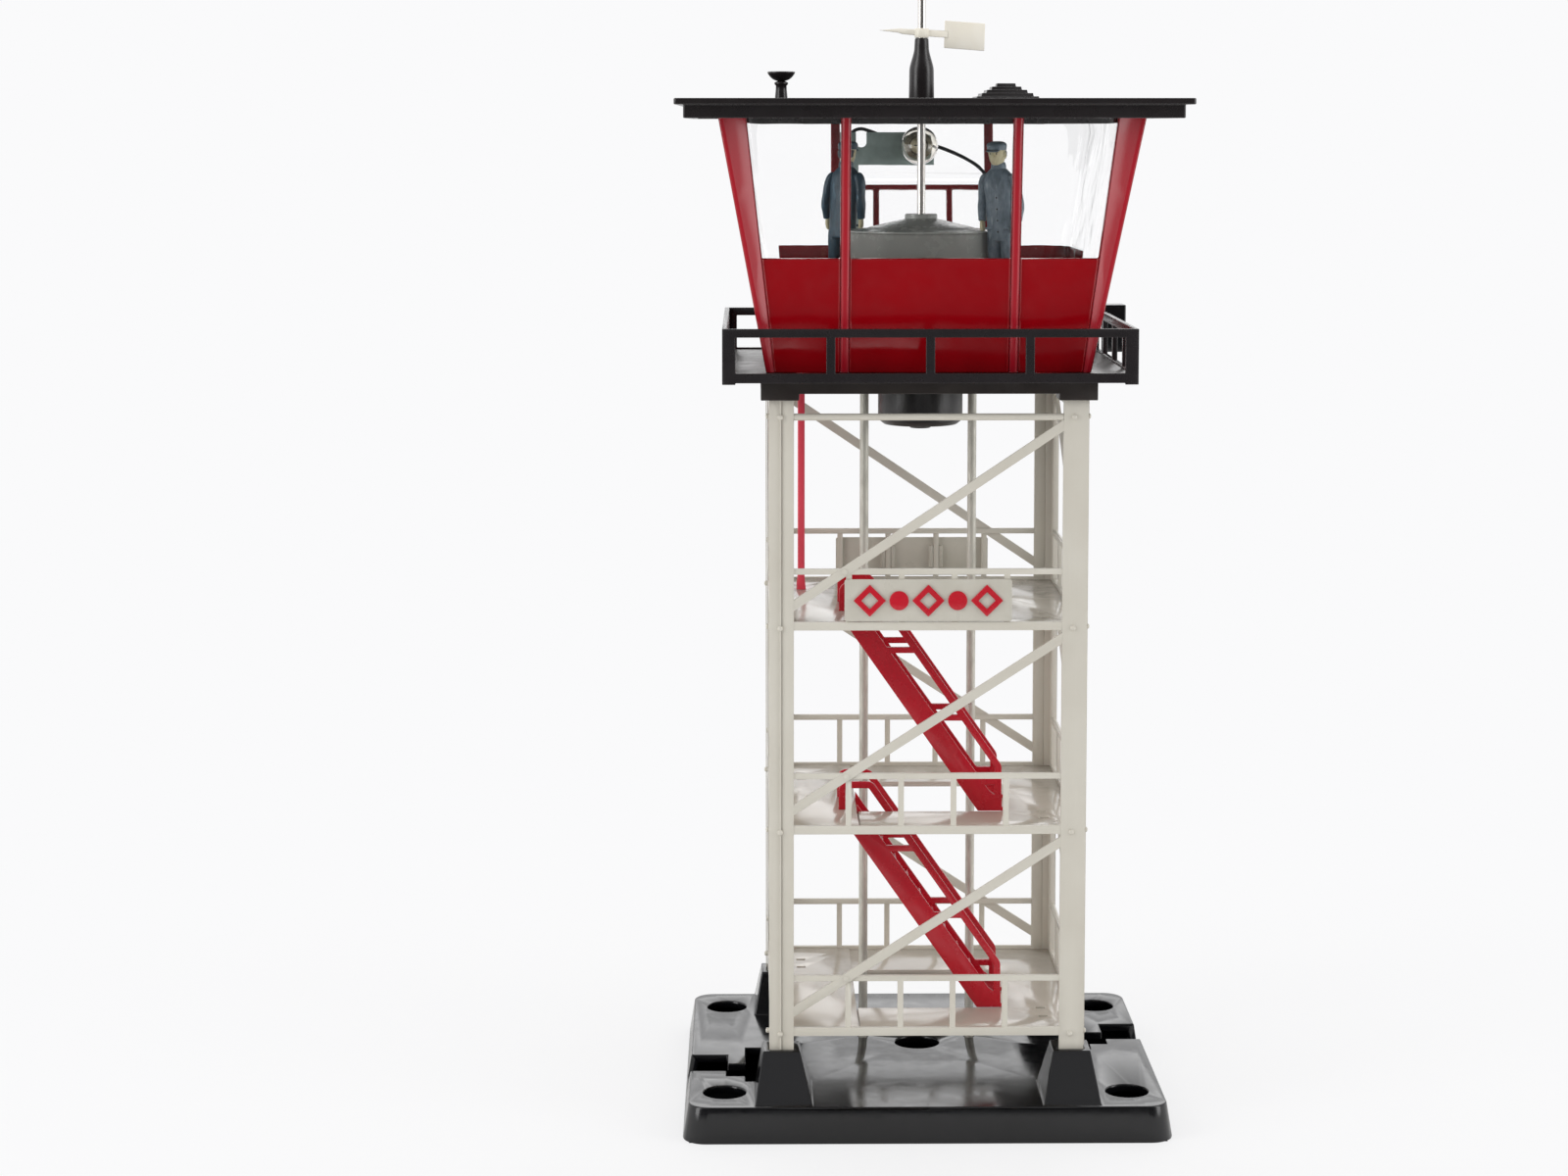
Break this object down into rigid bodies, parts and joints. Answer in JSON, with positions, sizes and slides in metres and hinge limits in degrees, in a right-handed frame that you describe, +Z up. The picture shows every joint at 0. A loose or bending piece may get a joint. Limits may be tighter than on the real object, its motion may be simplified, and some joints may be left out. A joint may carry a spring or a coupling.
{
  "type": "toy railway control tower",
  "caption": "Toy railway control tower: grey lattice tower on a black base, red stairs, railed platform, glazed red cab with turning crew, flat roof, mast and weather vane.",
  "frame": {"origin": "middle of the base's underside, on the mast's axis", "axes": "+Z up along the mast, +X to the right along the front, +Y to the rear"},
  "size_m": [0.1302, 0.1258, 0.3104],
  "materials": {
    "black_plastic": "glossy black moulded plastic",
    "tower_grey": "satin warm grey moulded plastic",
    "floor_grey": "glossy warm grey moulded plastic",
    "red_plastic": "glossy bright red moulded plastic",
    "cab_red": "glossy deep red moulded plastic",
    "clear_plastic": "clear moulded styrene",
    "galvanised_steel": "galvanised steel rod",
    "brass": "plain brass",
    "zinc_steel": "zinc plated steel",
    "bobbin_plastic": "natural nylon",
    "copper_wire": "enamelled copper wire",
    "core_steel": "plain soft steel",
    "rubber": "soft black rubber",
    "bracket_steel": "grey-green plated sheet steel",
    "nickel": "nickel plated brass",
    "bulb_glass": "clear bulb glass",
    "lead_black": "black insulated lead",
    "mast_chrome": "bright plated steel",
    "turntable_grey": "dark grey moulded plastic",
    "hub_plastic": "dark grey nylon",
    "drum_grey": "satin mid grey moulded plastic",
    "crew_grey_blue": "painted moulded figure",
    "crew_navy": "painted moulded figure",
    "cream_plastic": "cream moulded plastic"
  },
  "bodies": {
    "tower": {"armature_plate": "core_steel", "base": "black_plastic", "bracket_screw": "zinc_steel", "cab_shell": "cab_red", "coil_bobbin": "bobbin_plastic", "coil_winding": "copper_wire", "contact_strips": "brass", "core": "core_steel", "cup_screws": "zinc_steel", "drive_fingers": "rubber", "floor_lower": "floor_grey", "floor_middle": "floor_grey", "floor_upper": "floor_grey", "glazing": "clear_plastic", "ladder": "red_plastic", "lamp_bracket": "bracket_steel", "lamp_bulb": "bulb_glass", "lamp_lead_left": "lead_black", "lamp_lead_right": "lead_black", "lamp_socket": "nickel", "mast_boot": "black_plastic", "motor_cup": "black_plastic", "panel_front": "tower_grey", "panel_left": "tower_grey", "panel_rear": "tower_grey", "panel_right": "tower_grey", "platform": "black_plastic", "railing_front": "black_plastic", "railing_left": "black_plastic", "railing_rear": "black_plastic", "railing_right": "black_plastic", "rod_left": "galvanised_steel", "rod_nuts": "brass", "rod_right": "galvanised_steel", "rod_terminals": "brass", "roof": "black_plastic", "roof_horn": "black_plastic", "roof_vent": "black_plastic", "side_box": "black_plastic", "sign_front": "tower_grey", "sign_motif_front": "red_plastic", "sign_motif_rear": "red_plastic", "sign_rear": "tower_grey", "stair_lower": "red_plastic", "stair_upper": "red_plastic", "terminal_screws": "zinc_steel"},
    "rotor": {"mast": "mast_chrome", "turntable": "turntable_grey", "turntable_hub": "hub_plastic", "drum": "drum_grey", "crewman_right": "crew_grey_blue", "crewman_left": "crew_navy", "cup_wheel": "cream_plastic"},
    "vane": {"weather_vane": "cream_plastic"}
  },
  "joints": [
    {"name": "mast_turn", "type": "hinge", "parent": "tower", "child": "rotor", "pos_m": [0, 0, 0.2], "axis": [0, 0, 1], "continuous": true},
    {"name": "vane_turn", "type": "hinge", "parent": "tower", "child": "vane", "pos_m": [0, 0, 0.2876], "axis": [0, 0, 1], "continuous": true}
  ]
}
